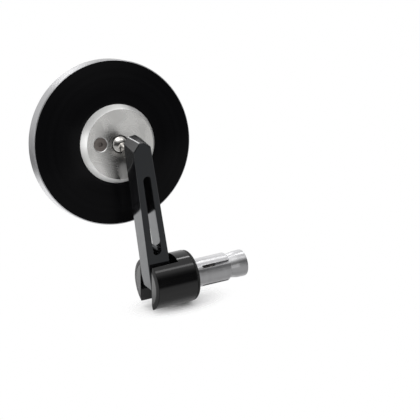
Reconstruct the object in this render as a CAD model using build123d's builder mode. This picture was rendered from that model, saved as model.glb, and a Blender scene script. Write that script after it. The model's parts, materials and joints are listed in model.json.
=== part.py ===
from build123d import *
from math import cos, radians, sin, sqrt, tan
import os

# Bar end mirror: a round convex mirror on a ball joint, carried by a slotted arm in a forked clamp
# that an expander holds in the end of the handlebar. Millimetres and degrees. X runs along the bar
# and points into it, Z is up, the arm's front looks along -Y, and the origin is on the bar's axis
# at its end.

# Clearances
running_gap = 0.05          # shoulder in its bush, or a thread in its hole
screw_gap = 0.25            # screw in a plain hole
face_gap = 0.05             # flat faces that turn on each other
seat_gap = 0.15             # ball, seats and their rubber ring, each from the next
pocket_gap = 0.3            # loose parts in their pockets
taper_gap = 0.2             # cone nut in the sleeve's mouth

# Clamp: a round bar with a fork cut in its outer end
clamp_radius = 16.0
clamp_length = 27.5
clamp_edge = 0.6
crown_width = 3.2           # shallow cone round the outer end, across its radius
crown_height = 0.6
fork_depth = 18.0
fork_edge = 0.4
pivot_inset = 8.4           # pivot axis from the clamp's outer end

# Rubber ring between the clamp and the bar's end, round a spigot on the clamp
ring_inner_radius = 11.0
ring_width = 4.6
ring_thickness = 1.6
spigot_height = 1.0

# Expander: slit sleeve, cone nut and the bolt that draws the cone in
sleeve_radius = 8.8
sleeve_length = 26.0
sleeve_lip = 1.6            # wall at the mouth
sleeve_edge = 0.5
taper_angle = 10.0
taper_depth = 14.0
slit_width = 1.8
slit_length = 19.0
slit_count = 4
slit_turn = 45.0            # first slit, from level
cone_insertion = 9.0
cone_inset = 0.6            # cone's rim inside the sleeve's outside
cone_band = 5.0             # straight band behind the taper
key_length = 8.0
key_inset = 0.8             # key's top below the sleeve's outside
bolt_radius = 3.0
bolt_tip = 2.0              # bolt's end past the cone nut
bolt_head_radius = 5.0
bolt_head_height = 4.0
bolt_socket = 4.0
bolt_socket_depth = 2.4
bolt_washer_radius = 5.8
bolt_washer_thickness = 1.2

# Pivot: shoulder screw from the rear ear, bush, friction washers and a pair of disc springs
shoulder_radius = 3.0
bush_wall = 1.0
pivot_thread_radius = 2.5
pivot_thread_length = 6.0
thread_relief = 1.0         # threaded holes run this much past their screws
pivot_head_radius = 4.5
pivot_head_height = 3.4
pivot_head_inset = 2.2      # head below the crest of the ear
pivot_socket = 4.0
pivot_socket_depth = 2.0
washer_radius = 6.0
washer_thickness = 0.6
disc_radius = 6.0
disc_thickness = 0.4
disc_dish = 0.25

# Arm: tapered bar with a tapered window through it
arm_lean = 7.9              # outboard from upright
arm_reach = 83.0            # pivot to ball stud
arm_foot_drop = 7.2
arm_head_rise = 13.0
arm_foot_width = 15.0
arm_head_width = 11.8
arm_foot_thickness = 11.8
arm_head_thickness = 13.0
arm_foot_corner = 6.0
arm_head_corner = 4.5       # at the front
arm_head_cant = 4.0         # corners lean to the front
arm_edge = 0.5
arm_fork_margin = 3.0       # parallel foot above the clamp's crest
arm_seat_margin = 7.0       # parallel head below the ball stud
window_foot = 20.9          # window's ends, from the pivot
window_head = 73.6
window_foot_width = 5.5
window_head_width = 4.85

# Ball stud, screwed into the arm's rear face
ball_radius = 6.2
ball_stand = 20.7           # ball's centre behind the arm
neck_radius = 2.75
neck_length = 9.0           # straight neck, from the ball's centre
flare_length = 6.0
collar_radius = 4.6
collar_flats = 8.0
stud_thread_radius = 3.0
stud_thread_length = 8.0

# Mirror head: its pan is about upright, its tilt about level, both from the arm's rear
head_pan = -5.6
head_tilt = 15.5
head_radius = 50.0
rim_height = 10.7
rim_edge = 0.6
rim_wall = 2.4
dome_height = 7.9           # from the rim's edge up to the cap
dome_wall = 2.6
boss_radius = 20.0
ledge_width = 4.0
glass_thickness = 2.2
glass_curve = 1200.0        # radius of the convex glass
glass_inset = 1.2           # glass edge inside the rim
pad_thickness = 0.8
pad_inset = 0.6

# Cap over the ball, screwed in by its spigot and locked by a countersunk screw
cap_height = 5.6
cap_base_radius = 23.8
cap_face_radius = 21.3
cap_edge = 0.25
cap_spigot_radius = 9.9
cap_spigot_height = 2.4
cap_hole_radius = 5.45
ball_sink = 4.0             # ball's centre below the cap's face
cap_screw_circle = 12.6
cap_screw_angle = 172.5
cap_screw_radius = 2.0
cap_screw_length = 12.0
cap_screw_head_radius = 4.2
cap_sink_radius = 4.6       # mouth of the countersink
cap_socket = 2.5
cap_socket_depth = 1.6

# Seats round the ball: an acetal ring in the cap, an acetal cup below, and rubber under the cup
seat_wall = 1.5
seat_ring_radius = 8.6
seat_ring_top = 1.5         # above the ball's centre
seat_ring_bottom = 0.4      # below it
seat_cup_angle = 62.0       # from the cup's pole to its lip
seat_rubber_radius = 1.2
seat_floor_gap = 0.45       # cup's pole above the pocket's floor

os.makedirs("parts", exist_ok=True)

# Places along the bar
clamp_face = -ring_thickness
spigot_face = clamp_face + spigot_height
clamp_end = clamp_face - clamp_length
fork_floor = clamp_end + fork_depth
pivot_x = clamp_end + pivot_inset
bolt_seat = fork_floor + bolt_head_height + bolt_washer_thickness
sleeve_start = spigot_face + face_gap
sleeve_end = sleeve_start + sleeve_length
mouth_radius = sleeve_radius - sleeve_lip
taper = tan(radians(taper_angle))
cone_slip = taper_gap / cos(radians(taper_angle))
cone_start = sleeve_end - cone_insertion
cone_rim_radius = sleeve_radius - cone_inset
cone_rim = sleeve_end + (cone_rim_radius + cone_slip - mouth_radius) / taper
cone_end = cone_rim + cone_band

# Places across the fork, from its rear wall to its front wall
disc_height = disc_thickness + disc_dish
fork_width = arm_foot_thickness + 2 * (washer_thickness + face_gap + disc_height)
fork_wall = fork_width / 2
arm_rear = fork_wall - washer_thickness - face_gap
arm_front = arm_rear - arm_foot_thickness
arm_head_rear = arm_front + arm_head_thickness

# Frames of the pivot, the arm, the ball stud and the mirror head
lean = radians(arm_lean)
cant = radians(arm_head_cant)
arm_across = Vector(cos(lean), 0, sin(lean))
arm_along = Vector(-sin(lean), 0, cos(lean))
pivot = Vector(pivot_x, 0, 0)
pivot_section = Plane(origin=pivot, x_dir=(1, 0, 0), z_dir=(0, 0, 1))
pivot_axis = Axis(pivot, (0, 1, 0))
arm_front_plane = Plane(origin=pivot + Vector(0, arm_front, 0), x_dir=arm_across, z_dir=(0, -1, 0))
arm_side_plane = Plane(origin=pivot, x_dir=(0, 1, 0), z_dir=arm_across)
ball = pivot + arm_along * arm_reach + Vector(0, arm_head_rear + ball_stand, 0)
stud_section = Plane(origin=ball, x_dir=(1, 0, 0), z_dir=(0, 0, -1))
stud_axis = Axis(ball, (0, -1, 0))
pan = radians(head_pan)
tilt = radians(head_tilt)
head_side = Vector(cos(pan), sin(pan), 0)
stud_way = Vector(sin(pan), -cos(pan), 0)
head_way = stud_way * cos(tilt) + Vector(0, 0, sin(tilt))
head_section = Plane(origin=ball, x_dir=head_side, z_dir=head_side.cross(head_way))
head_axis = Axis(ball, head_way)
cup_section = Plane(origin=ball, x_dir=head_side, z_dir=head_side.cross(stud_way))
cup_axis = Axis(ball, stud_way)


def head_level(height):
    """Plane square to the head's axis, at a height above the ball's centre."""
    return Plane(origin=ball + head_way * height, x_dir=head_side, z_dir=head_way)


# Heights in the head, above the ball's centre
cap_base = ball_sink - cap_height
spigot_end = cap_base - cap_spigot_height
rim_front = cap_base - dome_height
rim_rear = rim_front - rim_height
glass_edge = rim_rear + glass_inset
ledge = glass_edge + glass_thickness + pad_thickness
glass_pocket_radius = head_radius - rim_wall
glass_radius = glass_pocket_radius - pocket_gap
pad_radius = glass_radius - pad_inset
ledge_radius = glass_pocket_radius - ledge_width
seat_inner_radius = ball_radius + seat_gap
seat_outer_radius = seat_inner_radius + seat_wall
seat_pocket_radius = seat_ring_radius + seat_gap
seat_floor = -seat_outer_radius - seat_floor_gap
lip_start = seat_ring_top + seat_gap
lip_radius = sqrt(cap_hole_radius**2 + ball_sink**2)

# The dome is part of a sphere through the rim's inner edge and the foot of the cap
dome_edge_radius = head_radius - rim_edge
dome_centre = (cap_base + rim_front) / 2 - (dome_edge_radius**2 - cap_base_radius**2) / (2 * dome_height)
dome_radius = sqrt(cap_base_radius**2 + (cap_base - dome_centre) ** 2)


def dome_level(radius, depth=0):
    """Height of the dome, or of a surface at a depth below it, at a radius."""
    return dome_centre + sqrt((dome_radius - depth) ** 2 - radius**2)


def glass_level(radius):
    """Height of the glass's reflecting face at a radius."""
    return glass_edge + sqrt(glass_curve**2 - glass_radius**2) - sqrt(glass_curve**2 - radius**2)


def ball_offset(radius, height):
    """Radius of a sphere about the ball's centre, cut at a height."""
    return sqrt(radius**2 - height**2)


# Clamp body
with BuildPart() as clamp_body:
    with BuildSketch(Plane.XZ):
        with BuildLine():
            Polyline(
                (spigot_face, 0),
                (spigot_face, ring_inner_radius),
                (clamp_face, ring_inner_radius),
                (clamp_face, clamp_radius - clamp_edge),
                (clamp_face - clamp_edge, clamp_radius),
                (clamp_end + crown_height, clamp_radius),
                (clamp_end, clamp_radius - crown_width),
                (clamp_end, 0),
                close=True,
            )
        make_face()
    revolve(axis=Axis.X)
    with Locations((fork_floor, 0, 0)):
        Box(clamp_length, fork_width, 2 * clamp_radius, align=(Align.MAX, Align.CENTER, Align.CENTER),
            mode=Mode.SUBTRACT)
    fork_walls = clamp_body.faces().filter_by(Axis.Y)
    chamfer(fork_walls.edges().filter_by(Axis.X), fork_edge)
    with Locations(Plane(origin=(fork_floor, 0, 0), z_dir=(-1, 0, 0))):
        CounterBoreHole(bolt_radius + screw_gap, bolt_washer_radius + pocket_gap, bolt_seat - fork_floor)
    with Locations(Plane(origin=(pivot_x, clamp_radius, 0), z_dir=(0, 1, 0))):
        CounterBoreHole(shoulder_radius + running_gap, pivot_head_radius + pocket_gap,
                        pivot_head_inset + pivot_head_height, depth=clamp_radius)
    with Locations(Plane(origin=(pivot_x, -fork_wall, 0), z_dir=(0, 1, 0))):
        Hole(pivot_thread_radius + running_gap, depth=pivot_thread_length + thread_relief)
clamp_body.part.label = "clamp_body"
export_step(clamp_body.part, "parts/clamp_body.step")

# Rubber ring round the clamp's spigot
with BuildPart() as bar_end_ring:
    with BuildSketch(Plane.XZ):
        with Locations((0, ring_inner_radius)):
            Rectangle(ring_thickness, ring_width, align=(Align.MAX, Align.MIN))
    revolve(axis=Axis.X)
bar_end_ring.part.label = "bar_end_ring"
export_step(bar_end_ring.part, "parts/bar_end_ring.step")

# Slit sleeve that grips the inside of the bar
with BuildPart(Plane.YZ.offset(sleeve_end)) as expander_sleeve:
    with BuildSketch(Plane.XZ):
        with BuildLine():
            Polyline(
                (sleeve_start, bolt_radius + screw_gap),
                (sleeve_start, sleeve_radius - sleeve_edge),
                (sleeve_start + sleeve_edge, sleeve_radius),
                (sleeve_end - sleeve_edge, sleeve_radius),
                (sleeve_end, sleeve_radius - sleeve_edge),
                (sleeve_end, mouth_radius),
                (sleeve_end - taper_depth, mouth_radius - taper_depth * taper),
                (sleeve_end - taper_depth, bolt_radius + screw_gap),
                close=True,
            )
        make_face()
    revolve(axis=Axis.X)
    with PolarLocations(sleeve_radius, slit_count, slit_turn):
        Box(2 * sleeve_radius, slit_width, slit_length, align=(Align.CENTER, Align.CENTER, Align.MAX),
            mode=Mode.SUBTRACT)
expander_sleeve.part.label = "expander_sleeve"
export_step(expander_sleeve.part, "parts/expander_sleeve.step")

# Cone nut, kept from turning by a key in one slit
with BuildPart() as cone_nut:
    with Locations(Location((cone_start, 0, 0), (slit_turn, 0, 0))):
        Box(key_length, sleeve_radius - key_inset, slit_width - 2 * pocket_gap,
            align=(Align.MIN, Align.MIN, Align.CENTER))
    with BuildSketch(Plane.XZ):
        with BuildLine():
            Polyline(
                (cone_start, 0),
                (cone_start, mouth_radius - cone_insertion * taper - cone_slip),
                (cone_rim, cone_rim_radius),
                (cone_end, cone_rim_radius),
                (cone_end, 0),
                close=True,
            )
        make_face()
    revolve(axis=Axis.X)
    with Locations(Plane(origin=(cone_end, 0, 0), z_dir=(1, 0, 0))):
        Hole(bolt_radius + running_gap)
cone_nut.part.label = "cone_nut"
export_step(cone_nut.part, "parts/cone_nut.step")

# Bolt through the clamp and the sleeve, with its head sunk in the fork's floor
with BuildPart() as bar_bolt:
    with BuildSketch(Plane.XZ):
        with BuildLine():
            Polyline(
                (fork_floor, 0),
                (fork_floor, bolt_head_radius),
                (fork_floor + bolt_head_height, bolt_head_radius),
                (fork_floor + bolt_head_height, bolt_radius),
                (cone_end + bolt_tip, bolt_radius),
                (cone_end + bolt_tip, 0),
                close=True,
            )
        make_face()
    revolve(axis=Axis.X)
    with BuildSketch(Plane.YZ.offset(fork_floor)):
        RegularPolygon(bolt_socket / 2, 6, major_radius=False)
    extrude(amount=bolt_socket_depth, mode=Mode.SUBTRACT)
bar_bolt.part.label = "bar_bolt"
export_step(bar_bolt.part, "parts/bar_bolt.step")

with BuildPart() as bolt_washer:
    with BuildSketch(Plane.YZ.offset(fork_floor + bolt_head_height)):
        Circle(bolt_washer_radius)
        Circle(bolt_radius + screw_gap, mode=Mode.SUBTRACT)
    extrude(amount=bolt_washer_thickness - face_gap)
bolt_washer.part.label = "bolt_washer"
export_step(bolt_washer.part, "parts/bolt_washer.step")

# Pivot screw: its head in the rear ear, its shoulder through the arm, its thread in the front ear
pivot_head_top = clamp_radius - pivot_head_inset
pivot_head_seat = pivot_head_top - pivot_head_height
with BuildPart() as pivot_screw:
    with BuildSketch(pivot_section):
        with BuildLine():
            Polyline(
                (0, pivot_head_top),
                (pivot_head_radius, pivot_head_top),
                (pivot_head_radius, pivot_head_seat),
                (shoulder_radius, pivot_head_seat),
                (shoulder_radius, -fork_wall),
                (pivot_thread_radius, -fork_wall),
                (pivot_thread_radius, -fork_wall - pivot_thread_length),
                (0, -fork_wall - pivot_thread_length),
                close=True,
            )
        make_face()
    revolve(axis=pivot_axis)
    with BuildSketch(Plane(origin=(pivot_x, pivot_head_top, 0), z_dir=(0, 1, 0))):
        RegularPolygon(pivot_socket / 2, 6, major_radius=False)
    extrude(amount=-pivot_socket_depth, mode=Mode.SUBTRACT)
pivot_screw.part.label = "pivot_screw"
export_step(pivot_screw.part, "parts/pivot_screw.step")

with BuildPart() as pivot_bush:
    with BuildSketch(Plane(origin=(pivot_x, arm_rear, 0), z_dir=(0, -1, 0))):
        Circle(shoulder_radius + running_gap + bush_wall)
        Circle(shoulder_radius + running_gap, mode=Mode.SUBTRACT)
    extrude(amount=arm_foot_thickness)
pivot_bush.part.label = "pivot_bush"
export_step(pivot_bush.part, "parts/pivot_bush.step")

# Friction washers on both sides of the arm's foot
front_washer = arm_front - face_gap
for washer_name, washer_face in (("rear_washer", fork_wall), ("front_washer", front_washer)):
    with BuildPart() as friction_washer:
        with BuildSketch(Plane(origin=(pivot_x, washer_face, 0), z_dir=(0, -1, 0))):
            Circle(washer_radius)
            Circle(shoulder_radius + running_gap, mode=Mode.SUBTRACT)
        extrude(amount=washer_thickness)
    friction_washer.part.label = washer_name
    export_step(friction_washer.part, f"parts/{washer_name}.step")

# Two disc springs, rim to rim, between the front washer and the front ear
disc_hole = shoulder_radius + running_gap
disc_middle = -fork_wall + disc_height
with BuildPart() as disc_springs:
    for way in (1, -1):
        with BuildSketch(pivot_section):
            with BuildLine():
                Polyline(
                    (disc_hole, disc_middle + way * disc_dish),
                    (disc_radius, disc_middle),
                    (disc_radius, disc_middle + way * disc_thickness),
                    (disc_hole, disc_middle + way * disc_height),
                    close=True,
                )
            make_face()
        revolve(axis=pivot_axis, clean=False)
disc_springs.part.label = "disc_springs"
export_step(disc_springs.part, "parts/disc_springs.step")

# Arm
arm_top = arm_reach + arm_head_rise
half_taper = (arm_foot_width - arm_head_width) / 2 / arm_reach
foot_half = arm_foot_width / 2 + half_taper * arm_foot_drop
top_half = arm_head_width / 2 - half_taper * arm_head_rise
with BuildPart() as arm:
    with BuildSketch(arm_front_plane):
        Polygon(
            (-foot_half, -arm_foot_drop),
            (foot_half, -arm_foot_drop),
            (top_half, arm_top),
            (-top_half, arm_top),
            align=None,
        )
        corners = vertices().sort_by(Axis.Y)
        chamfer(corners[:2], arm_foot_corner)
    extrude(amount=-arm_head_thickness)
    with BuildSketch(arm_side_plane):
        Polygon(
            (arm_front, -arm_foot_drop),
            (arm_rear, -arm_foot_drop),
            (arm_rear, clamp_radius + arm_fork_margin),
            (arm_head_rear, arm_reach - arm_seat_margin),
            (arm_head_rear, arm_top),
            (arm_front, arm_top),
            align=None,
        )
    extrude(amount=arm_foot_width, both=True, mode=Mode.INTERSECT)
    for side in (-1, 1):
        corner = pivot + arm_across * side * (top_half - arm_head_corner) + arm_along * arm_top
        corner_way = (arm_along + arm_across * side).normalized() * cos(cant) - Vector(0, sin(cant), 0)
        split(bisect_by=Plane(origin=corner + Vector(0, arm_front, 0), z_dir=corner_way), keep=Keep.BOTTOM)
    chamfer(arm.faces().sort_by(Axis.Y)[0].edges(), arm_edge)
    with BuildSketch(arm_front_plane):
        with Locations((0, window_foot + window_foot_width / 2)):
            Circle(window_foot_width / 2)
        with Locations((0, window_head - window_head_width / 2)):
            Circle(window_head_width / 2)
        make_hull()
    extrude(amount=-arm_head_thickness, mode=Mode.SUBTRACT)
    with Locations(arm_front_plane):
        Hole(shoulder_radius + running_gap + bush_wall)
    with BuildSketch(Plane(origin=ball, x_dir=(1, 0, 0), z_dir=(0, -1, 0)).offset(ball_stand)):
        Circle(stud_thread_radius + running_gap)
    extrude(amount=stud_thread_length + thread_relief, mode=Mode.SUBTRACT)
arm.part.label = "arm"
export_step(arm.part, "parts/arm.step")

# Ball stud: ball, neck, flare, collar with two flats, and thread
with BuildPart() as ball_stud:
    with BuildSketch(stud_section):
        with BuildLine():
            ThreePointArc(
                (0, -ball_radius),
                (ball_radius, 0),
                (neck_radius, ball_offset(ball_radius, neck_radius)),
            )
            Polyline(
                (neck_radius, ball_offset(ball_radius, neck_radius)),
                (neck_radius, neck_length),
                (collar_radius, neck_length + flare_length),
                (collar_radius, ball_stand),
                (stud_thread_radius, ball_stand),
                (stud_thread_radius, ball_stand + stud_thread_length),
                (0, ball_stand + stud_thread_length),
                (0, -ball_radius),
            )
        make_face()
    revolve(axis=stud_axis)
    with BuildSketch(Plane(origin=ball, x_dir=(1, 0, 0), z_dir=(0, -1, 0)).offset(neck_length)):
        Circle(2 * collar_radius)
        Rectangle(collar_flats, 4 * collar_radius, mode=Mode.SUBTRACT)
    extrude(amount=ball_stand - neck_length, mode=Mode.SUBTRACT)
ball_stud.part.label = "ball_stud"
export_step(ball_stud.part, "parts/ball_stud.step")

# Acetal ring in the cap, above the ball's middle
with BuildPart() as seat_ring:
    with BuildSketch(head_section):
        with BuildLine():
            Polyline(
                (ball_offset(seat_inner_radius, seat_ring_top), seat_ring_top),
                (seat_ring_radius, seat_ring_top),
                (seat_ring_radius, -seat_ring_bottom),
                (ball_offset(seat_inner_radius, seat_ring_bottom), -seat_ring_bottom),
            )
            ThreePointArc(
                (ball_offset(seat_inner_radius, seat_ring_bottom), -seat_ring_bottom),
                (seat_inner_radius, 0),
                (ball_offset(seat_inner_radius, seat_ring_top), seat_ring_top),
            )
        make_face()
    revolve(axis=head_axis)
seat_ring.part.label = "seat_ring"
export_step(seat_ring.part, "parts/seat_ring.step")

# Acetal cup behind the ball
cup_lip = Vector(sin(radians(seat_cup_angle)), -cos(radians(seat_cup_angle)))
cup_middle = Vector(sin(radians(seat_cup_angle / 2)), -cos(radians(seat_cup_angle / 2)))
with BuildPart() as seat_cup:
    with BuildSketch(cup_section):
        with BuildLine():
            ThreePointArc(
                (0, -seat_inner_radius),
                cup_middle * seat_inner_radius,
                cup_lip * seat_inner_radius,
            )
            Line(cup_lip * seat_inner_radius, cup_lip * seat_outer_radius)
            ThreePointArc(
                cup_lip * seat_outer_radius,
                cup_middle * seat_outer_radius,
                (0, -seat_outer_radius),
            )
            Line((0, -seat_outer_radius), (0, -seat_inner_radius))
        make_face()
    revolve(axis=cup_axis)
seat_cup.part.label = "seat_cup"
export_step(seat_cup.part, "parts/seat_cup.step")

# Rubber ring that springs the cup against the ball
rubber_level = seat_floor + seat_rubber_radius
rubber_reach = seat_outer_radius + seat_gap + seat_rubber_radius
with BuildPart() as seat_rubber:
    with BuildSketch(head_section):
        with Locations((ball_offset(rubber_reach, rubber_level), rubber_level)):
            Circle(seat_rubber_radius)
    revolve(axis=head_axis)
seat_rubber.part.label = "seat_rubber"
export_step(seat_rubber.part, "parts/seat_rubber.step")

# Mirror housing: domed back, rim, ledge for the glass, and a boss with the ball's pocket
dome_middle = (cap_base_radius + dome_edge_radius) / 2
cavity_middle = (boss_radius + ledge_radius) / 2
with BuildPart(head_level(cap_base)) as mirror_housing:
    with BuildSketch(head_section):
        with BuildLine():
            Polyline(
                (0, seat_floor),
                (seat_pocket_radius, seat_floor),
                (seat_pocket_radius, spigot_end - running_gap),
                (cap_spigot_radius + running_gap, spigot_end - running_gap),
                (cap_spigot_radius + running_gap, cap_base),
                (cap_base_radius, cap_base),
            )
            ThreePointArc(
                (cap_base_radius, cap_base),
                (dome_middle, dome_level(dome_middle)),
                (dome_edge_radius, rim_front),
            )
            Polyline(
                (dome_edge_radius, rim_front),
                (head_radius, rim_front - rim_edge),
                (head_radius, rim_rear + rim_edge),
                (head_radius - rim_edge, rim_rear),
                (glass_pocket_radius, rim_rear),
                (glass_pocket_radius, ledge),
                (ledge_radius, ledge),
                (ledge_radius, dome_level(ledge_radius, dome_wall)),
            )
            ThreePointArc(
                (ledge_radius, dome_level(ledge_radius, dome_wall)),
                (cavity_middle, dome_level(cavity_middle, dome_wall)),
                (boss_radius, dome_level(boss_radius, dome_wall)),
            )
            Polyline(
                (boss_radius, dome_level(boss_radius, dome_wall)),
                (boss_radius, ledge),
                (0, ledge),
                (0, seat_floor),
            )
        make_face()
    revolve(axis=head_axis)
    with PolarLocations(cap_screw_circle, 1, cap_screw_angle):
        Hole(cap_screw_radius + running_gap, depth=cap_screw_length - cap_height + thread_relief)
mirror_housing.part.label = "mirror_housing"
export_step(mirror_housing.part, "parts/mirror_housing.step")

# Cap: bevelled disc that closes the pocket and holds the ball in by its lip
with BuildPart(head_level(ball_sink)) as ball_cap:
    lip_middle = (lip_start + ball_sink) / 2
    with BuildSketch(head_section):
        with BuildLine():
            Polyline(
                (cap_hole_radius, ball_sink),
                (cap_face_radius - cap_edge, ball_sink),
                (cap_face_radius, ball_sink - cap_edge),
                (cap_base_radius, cap_base),
                (cap_spigot_radius, cap_base),
                (cap_spigot_radius, spigot_end),
                (seat_pocket_radius, spigot_end),
                (seat_pocket_radius, lip_start),
                (ball_offset(lip_radius, lip_start), lip_start),
            )
            ThreePointArc(
                (ball_offset(lip_radius, lip_start), lip_start),
                (ball_offset(lip_radius, lip_middle), lip_middle),
                (cap_hole_radius, ball_sink),
            )
        make_face()
    revolve(axis=head_axis)
    with PolarLocations(cap_screw_circle, 1, cap_screw_angle):
        CounterSinkHole(cap_screw_radius + screw_gap, cap_sink_radius, counter_sink_angle=90)
ball_cap.part.label = "ball_cap"
export_step(ball_cap.part, "parts/ball_cap.step")

# Countersunk screw that locks the cap
screw_top = ball_sink - (cap_sink_radius - cap_screw_head_radius - running_gap)
with BuildPart(head_level(screw_top)) as cap_screw:
    with PolarLocations(cap_screw_circle, 1, cap_screw_angle):
        Cylinder(cap_screw_radius, cap_screw_length, align=(Align.CENTER, Align.CENTER, Align.MAX))
        Cone(cap_screw_radius, cap_screw_head_radius, cap_screw_head_radius - cap_screw_radius,
             align=(Align.CENTER, Align.CENTER, Align.MAX))
    with BuildSketch(head_level(screw_top)):
        with PolarLocations(cap_screw_circle, 1, cap_screw_angle):
            RegularPolygon(cap_socket / 2, 6, major_radius=False)
    extrude(amount=-cap_socket_depth, mode=Mode.SUBTRACT)
cap_screw.part.label = "cap_screw"
export_step(cap_screw.part, "parts/cap_screw.step")

# Convex glass, silvered on its inner face
with BuildPart() as mirror_glass:
    with BuildSketch(head_section):
        with BuildLine():
            ThreePointArc(
                (0, glass_level(0)),
                (glass_radius / 2, glass_level(glass_radius / 2)),
                (glass_radius, glass_edge),
            )
            Line((glass_radius, glass_edge), (glass_radius, glass_edge + glass_thickness))
            ThreePointArc(
                (glass_radius, glass_edge + glass_thickness),
                (glass_radius / 2, glass_level(glass_radius / 2) + glass_thickness),
                (0, glass_level(0) + glass_thickness),
            )
            Line((0, glass_level(0) + glass_thickness), (0, glass_level(0)))
        make_face()
    revolve(axis=head_axis)
mirror_glass.part.label = "mirror_glass"
export_step(mirror_glass.part, "parts/mirror_glass.step")

# Foam pad between the glass and the housing
with BuildPart() as glass_pad:
    with BuildSketch(head_section):
        with BuildLine():
            ThreePointArc(
                (0, glass_level(0) + glass_thickness),
                (pad_radius / 2, glass_level(pad_radius / 2) + glass_thickness),
                (pad_radius, glass_level(pad_radius) + glass_thickness),
            )
            Polyline(
                (pad_radius, glass_level(pad_radius) + glass_thickness),
                (pad_radius, ledge),
                (0, ledge),
                (0, glass_level(0) + glass_thickness),
            )
        make_face()
    revolve(axis=head_axis)
glass_pad.part.label = "glass_pad"
export_step(glass_pad.part, "parts/glass_pad.step")
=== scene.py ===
import json
from math import atan2, hypot, radians, sqrt, tau

import bmesh
import bpy
from mathutils import Matrix, Vector


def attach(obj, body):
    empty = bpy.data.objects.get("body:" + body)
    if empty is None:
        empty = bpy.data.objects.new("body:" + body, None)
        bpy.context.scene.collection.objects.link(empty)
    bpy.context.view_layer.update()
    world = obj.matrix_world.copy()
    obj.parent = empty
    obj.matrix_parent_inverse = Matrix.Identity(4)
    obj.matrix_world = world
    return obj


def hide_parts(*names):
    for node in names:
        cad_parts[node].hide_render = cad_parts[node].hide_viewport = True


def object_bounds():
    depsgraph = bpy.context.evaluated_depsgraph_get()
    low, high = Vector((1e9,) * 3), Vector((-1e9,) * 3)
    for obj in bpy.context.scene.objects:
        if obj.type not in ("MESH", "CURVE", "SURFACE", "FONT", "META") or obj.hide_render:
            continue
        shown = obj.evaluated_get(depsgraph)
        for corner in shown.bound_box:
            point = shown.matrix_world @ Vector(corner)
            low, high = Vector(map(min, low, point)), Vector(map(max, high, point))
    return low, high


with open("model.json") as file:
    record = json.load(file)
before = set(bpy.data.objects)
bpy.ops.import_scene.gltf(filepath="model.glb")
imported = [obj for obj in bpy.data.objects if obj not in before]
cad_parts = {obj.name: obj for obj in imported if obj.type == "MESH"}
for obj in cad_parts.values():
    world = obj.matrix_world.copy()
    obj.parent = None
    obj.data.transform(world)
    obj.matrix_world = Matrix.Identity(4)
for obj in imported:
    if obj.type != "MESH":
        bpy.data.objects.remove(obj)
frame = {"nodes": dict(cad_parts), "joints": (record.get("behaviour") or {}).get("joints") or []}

# Bar end mirror, dressed piece by piece from the plug in the bar out to the glass. Sizes are in
# millimetres and are scaled to metres as they go into a mesh.
cad_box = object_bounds()

# Expander sleeve: plain aluminium tube that wedges inside the bar, turned on a lathe and then slit
# into four legs, with its corners broken.
mm = 0.001
nodes = frame["nodes"]
bar_axis = (Vector((0, 0, 0)), Vector((1, 0, 0)), Vector((0, 1, 0)))
join_gap = 0.001 * mm
axis_gap = 0.01 * mm
flat_angle = radians(0.05)
corner_angle = radians(25)
crease_angle = radians(50)
sleeve_corner = 0.15


def merged(node):
    """Copy of a solid's mesh with its loose triangles joined into faces."""
    shape = bmesh.new()
    shape.from_mesh(nodes[node].data)
    bmesh.ops.remove_doubles(shape, verts=shape.verts, dist=join_gap)
    bmesh.ops.dissolve_limit(shape, angle_limit=flat_angle, verts=shape.verts, edges=shape.edges)
    return shape


def sharp_edges(shape):
    """Edges where two faces meet at a corner."""
    return [edge for edge in shape.edges if edge.calc_face_angle(0) > corner_angle]


def rounded(shape, edges, width, segments=2, guard=True):
    """Shape with some of its edges rounded to a width, which the guard narrows where there is no room."""
    bmesh.ops.bevel(
        shape,
        geom=edges,
        offset=width * mm,
        offset_type="OFFSET",
        affect="EDGES",
        segments=segments,
        profile=0.5,
        material=-1,
        clamp_overlap=guard,
    )
    bmesh.ops.dissolve_degenerate(shape, edges=shape.edges, dist=join_gap)
    return shape


def eased(node, width, guard=True):
    """Copy of a solid's mesh with all its sharp edges rounded to a width."""
    shape = merged(node)
    return rounded(shape, sharp_edges(shape), width, guard=guard)


def turning_map(shape, axis):
    """UV map of a turned piece: u runs with the tool, outwards and down, and v goes round."""
    origin, way, side = axis
    across = way.cross(side)
    layer = shape.loops.layers.uv.new("turning")
    for face in shape.faces:
        middle = face.calc_center_median() - origin
        face_turn = atan2(middle.dot(across), middle.dot(side)) / tau
        for loop in face.loops:
            place = loop.vert.co - origin
            radius = hypot(place.dot(across), place.dot(side))
            turn = face_turn
            if radius > axis_gap:
                turn = atan2(place.dot(across), place.dot(side)) / tau
                turn += round(face_turn - turn)
            loop[layer].uv = ((radius - place.dot(way)) / mm, turn)


def piece(name, shape, body, materials, stands_for):
    """Finished piece from a shape: it rides on a body and stands for a solid."""
    mesh = bpy.data.meshes.new(name)
    for face in shape.faces:
        face.smooth = True
    for edge in shape.edges:
        edge.smooth = edge.calc_face_angle(0) < crease_angle
    shape.to_mesh(mesh)
    shape.free()
    for material in materials:
        mesh.materials.append(material)
    made = bpy.data.objects.new(name, mesh)
    bpy.context.collection.objects.link(made)
    made.modifiers.new("even_faces", "WEIGHTED_NORMAL").keep_sharp = True
    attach(made, body)
    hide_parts(stands_for)


def add(tree, kind, inputs=None, **settings):
    """Node in a tree with its settings, and its inputs given as values or as sockets to link."""
    made = tree.nodes.new("ShaderNode" + kind)
    for key, value in settings.items():
        setattr(made, key, value)
    for key, value in (inputs or {}).items():
        if isinstance(value, bpy.types.NodeSocket):
            tree.links.new(value, made.inputs[key])
        else:
            made.inputs[key].default_value = value
    return made


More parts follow.
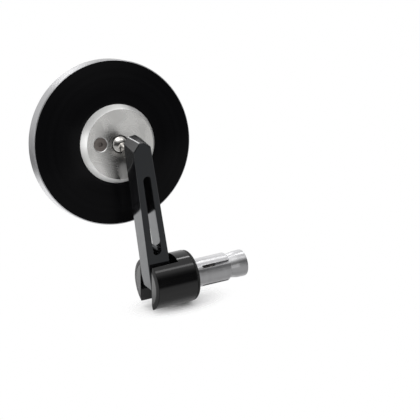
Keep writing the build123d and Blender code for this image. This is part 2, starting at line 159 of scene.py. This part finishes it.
def group(name, takes, gives):
    """Empty shader group with named values in and out; returns it with its two ends."""
    tree = bpy.data.node_groups.new(name, "ShaderNodeTree")
    tree.interface.new_socket("Place", in_out="INPUT", socket_type="NodeSocketVector")
    for label, value in takes.items():
        socket = tree.interface.new_socket(label, in_out="INPUT", socket_type="NodeSocketFloat")
        socket.default_value = value
    for label in gives:
        tree.interface.new_socket(label, in_out="OUTPUT", socket_type="NodeSocketFloat")
    return tree, tree.nodes.new("NodeGroupInput").outputs, tree.nodes.new("NodeGroupOutput").inputs


# What a cutting tool and handling leave on metal: fine lines along the feed, broader bands, etch
# grain and faint smudges. Its places are in millimetres.
bands_per_line = 0.13
smudges_per_mm = 0.07
smudge_start = 0.42
smudge_full = 0.68
tool_marks, marks_in, marks_out = group(
    "tool_marks", {"Feed": 0.0, "Pitch": 0.5, "Grain": 0.4}, ("Lines", "Bands", "Etch", "Smudge")
)
line_place = add(tool_marks, "Math", {0: marks_in["Feed"], 1: marks_in["Pitch"]}, operation="DIVIDE")
band_place = add(tool_marks, "Math", {0: line_place.outputs[0], 1: bands_per_line}, operation="MULTIPLY")
lines = add(
    tool_marks, "TexNoise", {"W": line_place.outputs[0], "Scale": 1.0, "Detail": 2.0}, noise_dimensions="1D"
)
bands = add(
    tool_marks, "TexNoise", {"W": band_place.outputs[0], "Scale": 1.0, "Detail": 2.0}, noise_dimensions="1D"
)
etch_scale = add(tool_marks, "Math", {0: 1.0, 1: marks_in["Grain"]}, operation="DIVIDE")
etch = add(
    tool_marks, "TexNoise", {"Vector": marks_in["Place"], "Scale": etch_scale.outputs[0], "Detail": 2.0}
)
cloud = add(
    tool_marks,
    "TexNoise",
    {"Vector": marks_in["Place"], "Scale": smudges_per_mm, "Detail": 3.0, "Distortion": 0.6},
)
smudge = add(
    tool_marks,
    "MapRange",
    {"Value": cloud.outputs[0], "From Min": smudge_start, "From Max": smudge_full},
    interpolation_type="SMOOTHSTEP",
)
for label, source in (("Lines", lines), ("Bands", bands), ("Etch", etch), ("Smudge", smudge)):
    tool_marks.links.new(source.outputs[0], marks_out[label])

mask_low = 0.3
mask_high = 0.7
rough_swing = 0.15
bump_strength = 0.6
smudge_share = 0.35
etch_share = 0.5


def plain_material(name, fixed):
    """Material with values fixed on its shader, and the piece's place in millimetres."""
    material = bpy.data.materials.new(name)
    material.use_nodes = True
    tree = material.node_tree
    shader = tree.nodes["Principled BSDF"]
    for label, value in fixed.items():
        shader.inputs[label.replace("_", " ")].default_value = value
    place = add(
        tree, "VectorMath", {0: add(tree, "TexCoord").outputs["Object"], "Scale": 1 / mm}, operation="SCALE"
    )
    return material, tree, shader, place.outputs[0]


def varied(tree, shader, colour, swing, tone, roughness, rough_from, change):
    """Colour and roughness that swing about their values with two masks."""
    dark = [value * (1 - swing) for value in colour] + [1]
    light = [min(1, value * (1 + swing)) for value in colour] + [1]
    mix = add(tree, "Mix", {0: tone, 6: dark, 7: light}, data_type="RGBA")
    rough = add(
        tree,
        "MapRange",
        {
            "Value": rough_from,
            "From Min": mask_low,
            "From Max": mask_high,
            "To Min": roughness * (1 - change),
            "To Max": roughness * (1 + change),
        },
    )
    tree.links.new(mix.outputs[2], shader.inputs["Base Color"])
    tree.links.new(rough.outputs[0], shader.inputs["Roughness"])


def raised(tree, shader, height, relief):
    """Fine relief on a surface, of a height in millimetres."""
    bump = add(tree, "Bump", {"Height": height, "Strength": bump_strength, "Distance": relief * mm})
    tree.links.new(bump.outputs[0], shader.inputs["Normal"])


def machined(name, colour, roughness, feed=None, pitch=0.5, relief=0.004, swing=0.1, **fixed):
    """Machined metal: tool lines along a direction, or along the piece's turning map."""
    material, tree, shader, place = plain_material(name, fixed)
    if feed is None:
        turning = add(tree, "UVMap", uv_map="turning").outputs[0]
        along = add(tree, "SeparateXYZ", {0: turning}).outputs[0]
        tangent = add(tree, "Tangent", direction_type="UV_MAP", uv_map="turning")
        tree.links.new(tangent.outputs[0], shader.inputs["Tangent"])
    else:
        along = add(tree, "VectorMath", {0: place, 1: feed}, operation="DOT_PRODUCT").outputs["Value"]
    marks = add(tree, "Group", node_tree=tool_marks)
    tree.links.new(place, marks.inputs["Place"])
    tree.links.new(along, marks.inputs["Feed"])
    marks.inputs["Pitch"].default_value = pitch
    uneven = add(
        tree,
        "Math",
        {0: marks.outputs["Smudge"], 1: smudge_share, 2: marks.outputs["Lines"]},
        operation="MULTIPLY_ADD",
    )
    varied(tree, shader, colour, swing, marks.outputs["Bands"], roughness, uneven.outputs[0], rough_swing)
    height = add(
        tree,
        "Math",
        {0: marks.outputs["Etch"], 1: etch_share, 2: marks.outputs["Lines"]},
        operation="MULTIPLY_ADD",
    )
    raised(tree, shader, height.outputs[0], relief)
    return material


plain_turned = machined(
    "plain_turned",
    colour=(0.62, 0.62, 0.63),
    roughness=0.34,
    pitch=0.45,
    relief=0.006,
    Metallic=1,
    Anisotropic=0.5,
)
sleeve = eased("expander_sleeve", sleeve_corner)
turning_map(sleeve, bar_axis)
piece("sleeve_turned", sleeve, "expander", [plain_turned], "expander_sleeve")

# Cone nut: turned from the same aluminium bar, tapered to spread the sleeve's legs, with a key that
# runs in one slit.
cone_corner = 0.2
cone = eased("cone_nut", cone_corner)
turning_map(cone, bar_axis)
piece("cone_turned", cone, "cone", [plain_turned], "cone_nut")

# Bar bolt: stainless socket bolt that draws the cone nut in. Its head sits on a washer in the fork's
# floor and its thread is rolled.
bolt_corner = 0.25
shank_radius = 3.0
thread_start = 12.0
thread_end_gap = 0.4
thread_pitch = 1.0
thread_root = 2.45
thread_crest = 2.95
thread_steps = 28
ridge_sink = 0.05
ridge_foot = thread_root - ridge_sink
ridge_profile = ((0.97, ridge_foot), (0.6, thread_crest), (0.45, thread_crest), (0.08, ridge_foot))

stainless = machined(
    "stainless",
    colour=(0.52, 0.5, 0.48),
    roughness=0.28,
    feed=(0.6, 0.2, 0.77),
    pitch=0.3,
    Metallic=1,
)
bolt = eased("bar_bolt", bolt_corner)
bolt_end = max(vert.co.x for vert in bolt.verts) / mm
bmesh.ops.bisect_plane(
    bolt,
    geom=bolt.verts[:] + bolt.edges[:] + bolt.faces[:],
    dist=join_gap,
    plane_co=(thread_start * mm, 0, 0),
    plane_no=(1, 0, 0),
)
shank = [vert for vert in bolt.verts if vert.co.x > thread_start * mm - axis_gap]
to_root = thread_root / shank_radius
bmesh.ops.scale(bolt, vec=(1, to_root, to_root), verts=shank)
thread_turns = int((bolt_end - thread_end_gap - thread_start) / thread_pitch)
ridge = [
    bolt.verts.new(Vector((thread_start + along * thread_pitch, 0, radius)) * mm)
    for along, radius in ridge_profile
]
ridge_edges = [bolt.edges.new(pair) for pair in zip(ridge, ridge[1:])]
bmesh.ops.spin(
    bolt,
    geom=ridge + ridge_edges,
    cent=(0, 0, 0),
    axis=(1, 0, 0),
    angle=tau * thread_turns,
    dvec=(thread_pitch / thread_steps * mm, 0, 0),
    steps=thread_turns * thread_steps,
)
piece("bolt_threaded", bolt, "bolt", [stainless], "bar_bolt")


def dress(node, material):
    """New finish on a solid that keeps its own mesh."""
    nodes[node].material_slots[0].material = material


dress("bolt_washer", stainless)

# Clamp body: turned aluminium, forked on a mill, gloss black anodised with a duller crown round its
# outer end. The expander pulls it against the end of the bar.
clamp_corner = 0.15
crown_start = -25.5
crown_lean_from = -0.99
crown_lean_to = -0.1

clamp_black = machined(
    "clamp_black",
    colour=(0.002, 0.002, 0.0022),
    roughness=0.11,
    pitch=0.7,
    relief=0.0015,
    swing=0.3,
    IOR=1.6,
)
clamp_matt = machined(
    "clamp_matt",
    colour=(0.004, 0.004, 0.0044),
    roughness=0.35,
    relief=0.003,
    swing=0.3,
    IOR=1.25,
)
clamp = eased("clamp_body", clamp_corner, guard=False)
for face in clamp.faces:
    leans = crown_lean_from < face.normal.x < crown_lean_to
    face.material_index = int(leans and face.calc_center_median().x < crown_start * mm)
turning_map(clamp, bar_axis)
piece("clamp_turned", clamp, "clamp", [clamp_black, clamp_matt], "clamp_body")

# Bar end ring: moulded black rubber, stretched over the spigot on the clamp's inner face. The end
# of the bar rests on it.
ring_corner = 0.4
clouds_per_mm = 0.12
cloud_swing = 0.15

moulded_grain, grain_in, grain_out = group("moulded_grain", {"Size": 0.5}, ("Pebble", "Cloud"))
pebble_scale = add(moulded_grain, "Math", {0: 1.0, 1: grain_in["Size"]}, operation="DIVIDE")
pebble = add(
    moulded_grain,
    "TexVoronoi",
    {"Vector": grain_in["Place"], "Scale": pebble_scale.outputs[0]},
    feature="SMOOTH_F1",
)
soft_cloud = add(
    moulded_grain, "TexNoise", {"Vector": grain_in["Place"], "Scale": clouds_per_mm, "Detail": 3.0}
)
moulded_grain.links.new(pebble.outputs["Distance"], grain_out["Pebble"])
moulded_grain.links.new(soft_cloud.outputs[0], grain_out["Cloud"])


def moulded(name, colour, roughness, size, relief, **fixed):
    """Moulded or sintered stuff with a fine pebble grain."""
    material, tree, shader, place = plain_material(name, fixed)
    grain = add(tree, "Group", node_tree=moulded_grain)
    tree.links.new(place, grain.inputs["Place"])
    grain.inputs["Size"].default_value = size
    pebbled = grain.outputs["Pebble"]
    varied(tree, shader, colour, cloud_swing, grain.outputs["Cloud"], roughness, pebbled, rough_swing)
    raised(tree, shader, pebbled, relief)
    return material


ring_rubber = moulded("ring_rubber", colour=(0.012, 0.012, 0.012), roughness=0.6, size=0.5, relief=0.03)
ring = eased("bar_end_ring", ring_corner)
piece("ring_moulded", ring, "clamp", [ring_rubber], "bar_end_ring")

# Pivot: stainless shoulder screw in a sintered bronze bush, black acetal friction washers and a
# pair of disc springs, all inside the fork.
pivot_corner = 0.25
bronze = moulded("bronze", colour=(0.45, 0.3, 0.13), roughness=0.4, size=0.3, relief=0.01, Metallic=1)
acetal = moulded("acetal", colour=(0.03, 0.03, 0.03), roughness=0.4, size=0.6, relief=0.01)
pivot_screw = eased("pivot_screw", pivot_corner)
piece("pivot_screw_turned", pivot_screw, "clamp", [stainless], "pivot_screw")
dress("pivot_bush", bronze)
dress("rear_washer", acetal)
dress("front_washer", acetal)
dress("disc_springs", stainless)

# Arm: aluminium bar milled to a taper with a window through it, satin black anodised, with brushed
# facets at its head. Its foot swings in the fork.
joints = {joint["name"]: joint for joint in frame["joints"]}
arm_pivot = Vector(joints["arm_pivot"]["pos_m"])
ball_centre = Vector(joints["head_spin"]["pos_m"])
arm_along = ((ball_centre - arm_pivot) * Vector((1, 0, 1))).normalized()
facet_level = 88.0
facet_lean = 0.5
ridge_round = 0.6
arm_corner = 0.14

arm_black = machined(
    "arm_black",
    colour=(0.005, 0.005, 0.0055),
    roughness=0.1,
    feed=(0.99, 0.05, 0.137),
    relief=0.001,
    swing=0.3,
    IOR=1.6,
    Specular_Tint=(0.9, 0.95, 1, 1),
)
arm_brushed = machined(
    "arm_brushed",
    colour=(0.008, 0.008, 0.0085),
    roughness=0.2,
    feed=(0.99, 0.0, 0.137),
    relief=0.003,
    swing=0.3,
    IOR=1.9,
)
arm = merged("arm")


def head_facet(face):
    """Whether a face of the arm is one of the facets at its head."""
    level = (face.calc_center_median() - arm_pivot).dot(arm_along) / mm
    return level > facet_level and face.normal.dot(arm_along) > facet_lean


ridges = [edge for edge in sharp_edges(arm) if all(head_facet(face) for face in edge.link_faces)]
rounded(arm, ridges, ridge_round, segments=4, guard=False)
rounded(arm, sharp_edges(arm), arm_corner, guard=False)
for face in arm.faces:
    face.material_index = int(head_facet(face))
piece("arm_milled", arm, "arm", [arm_black, arm_brushed], "arm")

# Ball stud: steel ball on a neck, polished and nickel plated. It is screwed into the arm's rear
# face.
nickel = machined(
    "nickel",
    colour=(0.84, 0.82, 0.79),
    roughness=0.2,
    feed=(0.1, 0.97, 0.2),
    pitch=0.4,
    relief=0.001,
    swing=0.05,
    Metallic=1,
)
dress("ball_stud", nickel)

# Seats: black acetal ring and cup that clasp the ball. A rubber ring behind the cup springs them, in
# the housing's pocket.
dress("seat_ring", acetal)
dress("seat_cup", acetal)
dress("seat_rubber", ring_rubber)

# Mirror housing: one turned aluminium piece with a domed back, black anodised and then bright cut
# round its rim.
head_side = Vector(joints["head_tilt"]["axis"])
head_way = Vector(joints["head_spin"]["axis"])
head_axis = (ball_centre, head_way, head_side)
head_radius = 50.0
rim_edge = 0.6
rim_front = -9.5
rim_rear = -20.2
cap_base = -1.6
cap_base_radius = 23.8
pocket_radius = 8.75
pocket_floor = -8.3
spigot_radius = 9.95
spigot_floor = -4.05
glass_pocket_radius = 47.6
glass_ledge = -16.0
ledge_radius = 43.6
boss_radius = 20.0
dome_wall = 2.6
fine_round = 0.1
rim_round = 0.15
inner_round = 0.2
rim_inset = 0.1
rim_step = 0.05
pole_gap = 0.004 * mm
dome_edge_radius = head_radius - rim_edge
dome_rise = cap_base - rim_front
dome_spread = dome_edge_radius**2 - cap_base_radius**2
dome_centre = (cap_base + rim_front) / 2 - dome_spread / (2 * dome_rise)
dome_radius = hypot(cap_base_radius, cap_base - dome_centre)


def inner_dome(radius):
    """Height of the dome's inner face at a radius."""
    return dome_centre + sqrt((dome_radius - dome_wall) ** 2 - radius**2)


def turned(outline, axis, steps=160, arc_steps=12):
    """Shape turned about an axis from corners of radius, height, rounding and, at the end of an
    arc, the height of its centre on the axis."""
    origin, way, side = axis
    shape = bmesh.new()
    corners = {}
    last = None
    for radius, height, rounding, *arc in outline:
        place = origin + (side * radius + way * height) * mm
        if arc:
            centre = origin + way * arc[0] * mm
            start = last.co - centre
            end = place - centre
            swept = bmesh.ops.spin(
                shape,
                geom=[last],
                cent=centre,
                axis=start.cross(end).normalized(),
                angle=start.angle(end),
                steps=arc_steps,
            )
            corner = next(part for part in swept["geom_last"] if isinstance(part, bmesh.types.BMVert))
        else:
            corner = shape.verts.new(place)
            if last:
                shape.edges.new((last, corner))
        last = corner
        corners.setdefault(rounding, []).append(corner)
    for rounding, sharp in corners.items():
        if rounding:
            bmesh.ops.bevel(
                shape,
                geom=sharp,
                offset=rounding * mm,
                offset_type="OFFSET",
                affect="VERTICES",
                segments=3,
                profile=0.5,
                material=-1,
                clamp_overlap=True,
            )
    bmesh.ops.spin(
        shape,
        geom=shape.verts[:] + shape.edges[:],
        cent=origin,
        axis=way,
        angle=tau,
        steps=steps,
        use_merge=True,
    )
    bmesh.ops.remove_doubles(shape, verts=shape.verts, dist=pole_gap)
    bmesh.ops.recalc_face_normals(shape, faces=shape.faces)
    return shape


housing = turned(
    (
        (0, pocket_floor, 0),
        (pocket_radius, pocket_floor, inner_round),
        (pocket_radius, spigot_floor, fine_round),
        (spigot_radius, spigot_floor, fine_round),
        (spigot_radius, cap_base, fine_round),
        (cap_base_radius, cap_base, 0),
        (dome_edge_radius, rim_front, fine_round, dome_centre),
        (head_radius, rim_front - rim_edge, fine_round),
        (head_radius, rim_rear + rim_edge, fine_round),
        (head_radius - rim_edge, rim_rear, fine_round),
        (glass_pocket_radius, rim_rear, rim_round),
        (glass_pocket_radius, glass_ledge, inner_round),
        (ledge_radius, glass_ledge, inner_round),
        (ledge_radius, inner_dome(ledge_radius), inner_round),
        (boss_radius, inner_dome(boss_radius), 0, dome_centre),
        (boss_radius, glass_ledge, inner_round),
        (0, glass_ledge, 0),
    ),
    head_axis,
)
for face in housing.faces:
    place = face.calc_center_median() - ball_centre
    height = place.dot(head_way) / mm
    radius = (place - head_way * place.dot(head_way)).length / mm
    face.material_index = int(radius > glass_pocket_radius + rim_inset and height < rim_front - rim_step)
turning_map(housing, head_axis)
housing_black = machined(
    "housing_black",
    colour=(0.003, 0.003, 0.0034),
    roughness=0.2,
    pitch=0.8,
    relief=0.002,
    swing=0.3,
    IOR=1.15,
)
rim_bright = machined(
    "rim_bright",
    colour=(0.46, 0.46, 0.47),
    roughness=0.3,
    pitch=0.35,
    relief=0.005,
    Metallic=1,
    Anisotropic=0.6,
)
piece("housing_turned", housing, "head", [housing_black, rim_bright], "mirror_housing")

# Ball cap: bevelled aluminium disc that holds the ball in the housing, turned and clear anodised.
# It screws in by a spigot, and its bevel is cut bright. Its slanted faces, countersinks and ball
# hole chamfer too, are lighter: partly the bright cut, partly a painted highlight.
cap_corner = 0.12
bevel_lean_from = 0.1
bevel_lean_to = 0.9

turned_aluminium = machined(
    "turned_aluminium",
    colour=(0.65, 0.645, 0.63),
    roughness=0.27,
    pitch=0.6,
    relief=0.0008,
    swing=0.06,
    Metallic=1,
    Anisotropic=0.5,
)
bright_cut_and_painted_highlight = machined(
    "bright_cut_and_painted_highlight",
    colour=(0.93, 0.93, 0.92),
    roughness=0.46,
    pitch=0.4,
    relief=0.002,
    swing=0.04,
    Metallic=1,
    Anisotropic=0.3,
)
cap = eased("ball_cap", cap_corner)
# Slanted faces take the lighter colour, partly a bright cut and partly a painted highlight.
for face in cap.faces:
    face.material_index = int(bevel_lean_from < face.normal.dot(head_way) < bevel_lean_to)
turning_map(cap, head_axis)
piece("cap_turned", cap, "head", [turned_aluminium, bright_cut_and_painted_highlight], "ball_cap")

# Cap screw: stainless countersunk screw with a hexagon socket, dark warm grey and dull. It keeps the
# cap from turning.
cap_screw_corner = 0.3
screw_steel = machined(
    "screw_steel",
    colour=(0.27, 0.24, 0.225),
    roughness=0.4,
    feed=(0.1, 0.5, 0.86),
    pitch=0.3,
    relief=0.003,
    Metallic=1,
)
cap_screw = eased("cap_screw", cap_screw_corner)
piece("cap_screw_turned", cap_screw, "head", [screw_steel], "cap_screw")

# Mirror glass: convex glass with a ground edge, silvered. It sits inside the housing's rim, stuck to
# a foam pad.
glass_radius = 47.3
glass_edge = -19.0
glass_thickness = 2.2
glass_curve = 1200.0
glass_ground = 0.5
glass_back_round = 0.2
glass_colour = (0.86, 0.88, 0.89)
glass_roughness = 0.02
smear_tone = 0.02
smear_rough = 0.4
glass_centre = glass_edge + sqrt(glass_curve**2 - glass_radius**2)
glass_pole = glass_centre - glass_curve
glass = turned(
    (
        (0, glass_pole, 0),
        (glass_radius, glass_edge, glass_ground, glass_centre),
        (glass_radius, glass_edge + glass_thickness, glass_back_round),
        (0, glass_pole + glass_thickness, 0, glass_centre + glass_thickness),
    ),
    head_axis,
)
silvered, glass_tree, glass_shader, glass_place = plain_material(
    "silvered_glass", {"Metallic": 1, "Specular_IOR_Level": 0.5}
)
glass_marks = add(glass_tree, "Group", node_tree=tool_marks)
glass_tree.links.new(glass_place, glass_marks.inputs["Place"])
smear = glass_marks.outputs["Smudge"]
varied(glass_tree, glass_shader, glass_colour, smear_tone, smear, glass_roughness, smear, smear_rough)
piece("glass_silvered", glass, "head", [silvered], "mirror_glass")
dress("glass_pad", moulded("foam", colour=(0.04, 0.04, 0.04), roughness=0.9, size=0.4, relief=0.1))

# Table: pale and matt, seen only where the object's shadow falls. In a polished face it shows as
# the lit top behind the object, where a patch of it glows as painted light for reflections only.
floor_gap = 0.4
floor_level = cad_box[0][2] / mm - floor_gap
floor_radius = 150.0
shadow_middle = Vector((-8, 0, floor_level)) * mm
shadow_near = 4
shadow_far = 20
lit_middle = Vector((-60, 85, floor_level)) * mm
lit_near = 50
lit_far = 120
along_bar = (0.5, 1, 1)

floor = bmesh.new()
bmesh.ops.create_circle(
    floor, cap_ends=True, segments=96, radius=floor_radius * mm, matrix=Matrix.Translation(lit_middle)
)
floor_mesh = bpy.data.meshes.new("floor")
floor.to_mesh(floor_mesh)
floor.free()
table = bpy.data.objects.new("floor", floor_mesh)
bpy.context.collection.objects.link(table)
table_white = bpy.data.materials.new("table_white")
table_white.use_nodes = True
table_tree = table_white.node_tree
table_shader = table_tree.nodes["Principled BSDF"]
table_shader.inputs["Base Color"].default_value = (0.97, 0.97, 0.97, 1)
table_shader.inputs["Roughness"].default_value = 0.8
table_shader.inputs["Specular IOR Level"].default_value = 0.1
# Strength of the painted glow that the table shows in reflections.
table_shader.inputs["Emission Strength"].default_value = 0.35
table_place = add(table_tree, "TexCoord").outputs["Object"]


def faded(middle, near, far):
    """One near a point of the table and nought far from it, reaching twice as far along the bar."""
    aside = add(table_tree, "VectorMath", {0: table_place, 1: middle}, operation="SUBTRACT")
    squeezed = add(table_tree, "VectorMath", {0: aside.outputs[0], 1: along_bar}, operation="MULTIPLY")
    away = add(table_tree, "VectorMath", {0: squeezed.outputs[0]}, operation="LENGTH")
    fade = add(
        table_tree,
        "MapRange",
        {"Value": away.outputs["Value"], "From Min": far * mm, "From Max": near * mm},
        interpolation_type="SMOOTHSTEP",
    )
    return fade.outputs[0]


table_ray = add(table_tree, "LightPath")
shaded = faded(shadow_middle, shadow_near, shadow_far)
lit = faded(lit_middle, lit_near, lit_far)
widest = add(table_tree, "Math", {0: shaded, 1: lit}, operation="MAXIMUM")
cover = add(table_tree, "Mix", {0: table_ray.outputs["Is Camera Ray"], 2: widest.outputs[0], 3: shaded})
# Painted light: in reflections a patch of the table round lit_middle glows, standing in for its lit top.
glow = add(table_tree, "Math", {0: lit, 1: table_ray.outputs["Is Glossy Ray"]}, operation="MULTIPLY")
below = add(table_tree, "NewGeometry").outputs["Backfacing"]
above = add(table_tree, "Math", {0: 1.0, 1: below}, operation="SUBTRACT")
one_sided = add(table_tree, "Math", {0: cover.outputs[0], 1: above.outputs[0]}, operation="MULTIPLY")
table_tree.links.new(one_sided.outputs[0], table_shader.inputs["Alpha"])
table_tree.links.new(glow.outputs[0], table_shader.inputs["Emission Color"])
floor_mesh.materials.append(table_white)

# Room: a white ground behind the object and a dark room behind the camera, which polished faces
# mirror. The camera sees plain white.
turn_from = -0.35
turn_to = 0.35
ambient_grey = (0.8, 0.8, 0.8, 1)
ground_white = (1, 1, 1, 1)

world = bpy.data.worlds.new("studio")
bpy.context.scene.world = world
world.use_nodes = True
world.cycles.sampling_method = "NONE"
room_tree = world.node_tree
room_tree.nodes.clear()
facing = add(room_tree, "SeparateXYZ", {0: add(room_tree, "TexCoord").outputs["Generated"]})
level = add(room_tree, "MapRange", {"Value": facing.outputs[2], "From Min": -1.0, "From Max": 1.0})


def room(stops):
    """Greys of one side of the room, from straight down at 0 to straight up at 1."""
    ramp = add(room_tree, "ValToRGB", {0: level.outputs[0]})
    for _ in range(len(stops) - 2):
        ramp.color_ramp.elements.new(0.5)
    for element, (position, value) in zip(ramp.color_ramp.elements, stops):
        element.position = position
        element.color = (value, value, value, 1)
    return ramp.outputs[0]


dark_side = room(
    (
        (0.0, 0.25),
        (0.07, 0.33),
        (0.2, 0.45),
        (0.4, 0.42),
        (0.44, 0.3),
        (0.5, 0.03),
        (0.75, 0.03),
        (0.82, 0.15),
        (0.9, 0.6),
        (1.0, 0.7),
    )
)
white_side = room(
    (
        (0.0, 0.6),
        (0.2, 0.45),
        (0.3, 0.25),
        (0.38, 0.3),
        (0.47, 0.9),
        (0.55, 1.0),
        (0.67, 0.85),
        (0.8, 0.8),
        (0.93, 0.6),
        (1.0, 0.6),
    )
)
behind = add(
    room_tree,
    "MapRange",
    {"Value": facing.outputs[1], "From Min": turn_from, "From Max": turn_to},
    interpolation_type="SMOOTHSTEP",
)
around = add(room_tree, "Mix", {0: behind.outputs[0], 6: dark_side, 7: white_side}, data_type="RGBA")
ambient = add(room_tree, "Background", {"Color": ambient_grey})
mirrored = add(room_tree, "Background", {"Color": around.outputs[2]})
seen = add(room_tree, "Background", {"Color": ground_white})
room_ray = add(room_tree, "LightPath").outputs
shiny = add(
    room_tree, "Math", {0: room_ray["Is Glossy Ray"], 1: room_ray["Is Transmission Ray"]}, operation="MAXIMUM"
)
lighting = add(room_tree, "MixShader", {0: shiny.outputs[0], 1: ambient.outputs[0], 2: mirrored.outputs[0]})
shown = add(
    room_tree, "MixShader", {0: room_ray["Is Camera Ray"], 1: lighting.outputs[0], 2: seen.outputs[0]}
)
add(room_tree, "OutputWorld", {"Surface": shown.outputs[0]})

# Lamps: softboxes overhead, behind, in front and at the left, and two narrow strips that draw the
# long highlights on the clamp. Their sizes are in metres.
lit_point = Vector((-20, 10, 50)) * mm


def softbox(name, way, length, width, radiance, distance=1.1):
    """Area lamp that looks at the mirror from a direction, long along the bar."""
    lamp = bpy.data.lights.new(name, "AREA")
    lamp.shape = "RECTANGLE"
    lamp.size = length
    lamp.size_y = width
    lamp.energy = radiance * tau / 2 * length * width
    away = Vector(way).normalized()
    along = (Vector((1, 0, 0)) - away * away.x).normalized()
    turn = Matrix((along, away.cross(along), away)).transposed()
    made = bpy.data.objects.new(name, lamp)
    made.matrix_world = Matrix.Translation(lit_point + away * distance) @ turn.to_4x4()
    made.visible_camera = False
    bpy.context.collection.objects.link(made)


softbox("overhead", way=(-0.2, -0.15, 1), length=0.9, width=0.9, radiance=1.2, distance=1.3)
softbox("panel_rear", way=(-0.05, 0.8, 0.6), length=0.5, width=0.35, radiance=7.0)
softbox("strip_top", way=(0.443, 0.357, 0.823), length=0.5, width=0.1, radiance=6.0)
softbox("strip_front", way=(0.443, -0.315, 0.839), length=0.5, width=0.15, radiance=1.6)
softbox("panel_front", way=(0.02, -0.98, 0.12), length=0.7, width=0.6, radiance=0.9)
softbox("panel_left", way=(-0.9, 0.38, 0.0), length=0.9, width=0.9, radiance=1.2)

# Camera: a long lens from above and to the left of the arm's front. The object stands left of the
# middle of its frame.
camera_place = (-0.69737, -1.28823, 0.68451)
camera_dip = 23.65
camera_turn = -28.94
camera_data = bpy.data.cameras.new("camera")
camera_data.lens = 227.8
camera_data.sensor_width = 36.0
camera = bpy.data.objects.new("camera", camera_data)
camera.location = camera_place
camera.rotation_euler = (radians(90 - camera_dip), 0, radians(camera_turn))
bpy.context.collection.objects.link(camera)
bpy.context.scene.camera = camera
bpy.context.scene.view_settings.view_transform = "Standard"
